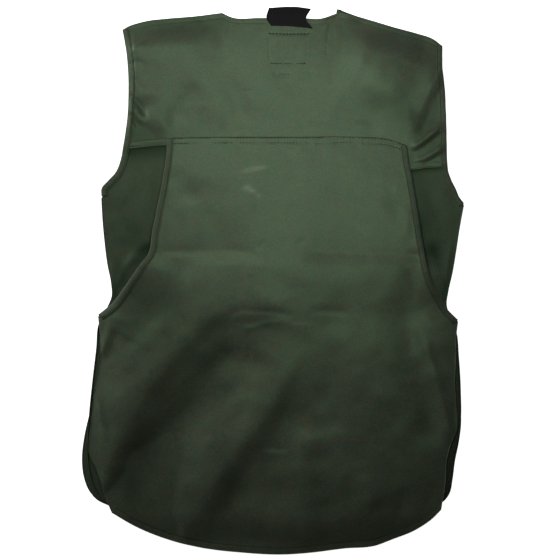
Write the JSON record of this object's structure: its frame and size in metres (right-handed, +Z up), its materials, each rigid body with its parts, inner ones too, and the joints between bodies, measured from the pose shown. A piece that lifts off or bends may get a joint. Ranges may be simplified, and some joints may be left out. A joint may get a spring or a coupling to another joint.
{
  "type": "shooting vest",
  "caption": "Sleeveless dark green shooting vest laid face down, with a back yoke, a wide game pouch open at both sides, bound armholes and a rounded drop tail.",
  "frame": {"origin": "centre of the outline seen from above, on the surface that the vest lies on", "axes": "the vest lies face down: +Z up from the surface, out of its back; +Y towards the neck; +X towards the wearer's right side"},
  "size_m": [0.5439, 0.7798, 0.0231],
  "materials": {
    "cloth": "dark olive green cotton and polyester twill, slightly sheeny, with tonal topstitching",
    "ribbon": "black woven ribbon, matt",
    "stud": "dark lacquered press stud"
  },
  "bodies": {
    "root": {"front_left": "cloth", "front_right": "cloth", "front_pocket_left": "cloth", "front_pocket_right": "cloth", "pocket_gusset_left": "cloth", "pocket_gusset_right": "cloth", "neck_binding_left": "cloth", "neck_binding_right": "cloth", "front_armhole_binding_left": "cloth", "front_armhole_binding_right": "cloth", "back_body": "cloth", "yoke": "cloth", "game_pouch": "cloth", "armhole_binding_left": "cloth", "armhole_binding_right": "cloth", "pouch_binding_left": "cloth", "pouch_binding_right": "cloth", "neck_tab": "ribbon", "stud_1": "stud", "stud_2": "stud", "stud_3": "stud", "stud_4": "stud", "stud_5": "stud"}
  },
  "joints": []
}
